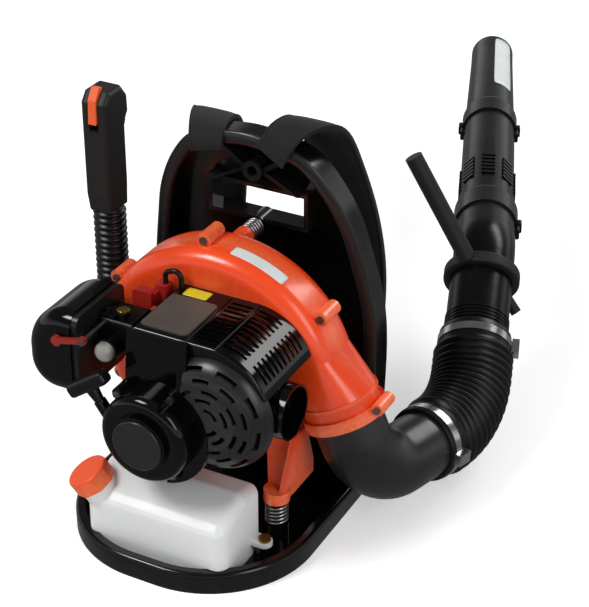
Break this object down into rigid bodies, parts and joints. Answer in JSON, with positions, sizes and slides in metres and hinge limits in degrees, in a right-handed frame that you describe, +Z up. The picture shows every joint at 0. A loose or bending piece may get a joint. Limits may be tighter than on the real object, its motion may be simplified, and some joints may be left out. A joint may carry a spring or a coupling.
{
  "type": "backpack leaf blower",
  "caption": "Backpack leaf blower: engine, fan housing and fuel tank on a sprung backpack frame, ribbed hose, twist-lock pipes, throttle arm",
  "frame": {"origin": "centre of the base's underside, where the machine stands on the ground", "axes": "+Z up, +Y from the engine towards the wearer's back and along the pipe, +X towards the side of the air outlet"},
  "size_m": [0.4584, 1.2308, 0.463],
  "materials": {
    "black_plastic": "satin",
    "gloss_black": "gloss",
    "orange_plastic": "gloss",
    "tank_plastic": "satin",
    "webbing": "woven",
    "strap_fabric": "woven",
    "spring_steel": "bright",
    "screw_steel": "satin",
    "clamp_steel": "bright",
    "dark_steel": "satin",
    "cast_alloy": "cast",
    "rubber_black": "matte",
    "bulb_clear": "satin",
    "filter_felt": "felt",
    "lever_orange": "satin",
    "coil_red": "gloss",
    "plate_grey": "satin"
  },
  "bodies": {
    "frame": {"backpack_frame": "black_plastic", "back_pad": "strap_fabric", "shoulder_strap_left": "strap_fabric", "shoulder_strap_right": "strap_fabric", "strap_webbing": "webbing", "strap_buckles": "black_plastic", "fuel_tank": "tank_plastic", "tank_screws": "screw_steel", "lower_springs": "spring_steel"},
    "power_unit": {"fan_housing_front": "orange_plastic", "fan_housing_rear": "orange_plastic", "housing_screws": "screw_steel", "intake_grille": "black_plastic", "upper_spring": "spring_steel", "crankcase": "cast_alloy", "cylinder": "cast_alloy", "piston": "cast_alloy", "spark_plug": "screw_steel", "plug_cap": "rubber_black", "ignition_coil": "coil_red", "ignition_lead": "rubber_black", "cover_plate": "plate_grey", "muffler": "dark_steel", "muffler_guard": "black_plastic", "exhaust_outlet": "dark_steel", "engine_cover": "black_plastic", "starter_housing": "gloss_black", "starter_screws": "screw_steel", "starter_cap": "black_plastic", "intake_spacer": "black_plastic", "carburettor": "cast_alloy", "air_cleaner_base": "black_plastic", "air_filter": "filter_felt", "air_cleaner_cover": "black_plastic", "choke_pin": "screw_steel", "outlet_elbow": "gloss_black", "hose_clamp_lower": "clamp_steel", "flex_hose": "rubber_black"},
    "rotor": {"crankshaft": "screw_steel", "flywheel": "cast_alloy", "fan_impeller": "black_plastic", "fan_nut": "screw_steel"},
    "reel": {"starter_reel": "black_plastic"},
    "pull_handle": {"starter_handle": "black_plastic"},
    "primer": {"primer_bulb": "bulb_clear"},
    "choke": {"choke_lever": "black_plastic"},
    "knob": {"cover_knob": "black_plastic"},
    "cap": {"fuel_cap": "lever_orange"},
    "arm": {"arm_base": "black_plastic", "arm_pin": "screw_steel", "throttle_conduit": "rubber_black", "grip_left": "black_plastic", "grip_right": "black_plastic"},
    "trigger": {"throttle_trigger": "black_plastic"},
    "cruise": {"cruise_lever": "lever_orange"},
    "hose_end": {"swivel_pipe": "gloss_black", "hose_clamp_upper": "clamp_steel"},
    "handle": {"pipe_handle": "black_plastic"},
    "straight": {"straight_pipe": "gloss_black"},
    "nozzle": {"nozzle_pipe": "gloss_black"}
  },
  "joints": [
    {"name": "spring_travel", "type": "slide", "parent": "frame", "child": "power_unit", "axis": [0, 0, 1], "range_m": [-0.003, 0.003], "stiffness_N_per_m": 20000, "springref_m": 0.0025, "deforming": ["lower_springs"]},
    {"name": "crank_spin", "type": "hinge", "parent": "power_unit", "child": "rotor", "pos_m": [0, 0, 0.178], "axis": [0, 1, 0], "continuous": true},
    {"name": "starter_pull", "type": "slide", "parent": "power_unit", "child": "pull_handle", "axis": [-0.5822, 0, 0.8131], "range_m": [0, 0.5], "stiffness_N_per_m": 4, "springref_m": -0.3},
    {"name": "reel_turn", "type": "hinge", "parent": "power_unit", "child": "reel", "pos_m": [0, -0.118, 0.178], "axis": [0, -1, 0], "range_deg": [0, 1150]},
    {"name": "primer_press", "type": "slide", "parent": "power_unit", "child": "primer", "axis": [0, 1, 0], "range_m": [0, 0.005], "stiffness_N_per_m": 600, "springref_m": -0.001},
    {"name": "choke_turn", "type": "hinge", "parent": "power_unit", "child": "choke", "pos_m": [-0.087, -0.11, 0.262], "axis": [0, -1, 0], "range_deg": [0, 60]},
    {"name": "knob_turn", "type": "hinge", "parent": "power_unit", "child": "knob", "pos_m": [-0.172, -0.052, 0.226], "axis": [-1, 0, 0], "continuous": true},
    {"name": "cap_turn", "type": "hinge", "parent": "frame", "child": "cap", "pos_m": [-0.08147, -0.11548, 0.08974], "axis": [-0.449, -0.2494, 0.858], "continuous": true},
    {"name": "arm_swing", "type": "hinge", "parent": "frame", "child": "arm", "pos_m": [-0.178, 0.09, 0.15], "axis": [-1, 0, 0], "range_deg": [0, 95]},
    {"name": "trigger_pull", "type": "hinge", "parent": "arm", "child": "trigger", "pos_m": [-0.178, 0.092, 0.43], "axis": [1, 0, 0], "range_deg": [0, 14], "stiffness_Nm_per_rad": 0.3, "springref_deg": -11.46},
    {"name": "cruise_turn", "type": "hinge", "parent": "arm", "child": "cruise", "pos_m": [-0.178, 0.075, 0.426], "axis": [1, 0, 0], "range_deg": [0, 25]},
    {"name": "pipe_swing", "type": "hinge", "parent": "power_unit", "child": "hose_end", "pos_m": [0.21926, 0.23514, 0.05509], "axis": [0, 0, 1], "range_deg": [-15, 15], "deforming": ["flex_hose"]},
    {"name": "handle_turn", "type": "hinge", "parent": "hose_end", "child": "handle", "pos_m": [0.15985, 0.41176, 0.14172], "axis": [-0.2891, 0.8595, 0.4216], "range_deg": [-20, 20]},
    {"name": "straight_twist", "type": "hinge", "parent": "hose_end", "child": "straight", "pos_m": [0.1239, 0.50844, 0.15811], "axis": [-0.3652, 0.9308, -0.0135], "range_deg": [0, 35]},
    {"name": "nozzle_twist", "type": "hinge", "parent": "straight", "child": "nozzle", "pos_m": [0.01107, 0.79607, 0.15395], "axis": [-0.3652, 0.9308, -0.0135], "range_deg": [0, 35]}
  ],
  "couplings": [
    {"joint": "reel_turn", "follows": "starter_pull", "rad_per_m": 38.462}
  ]
}
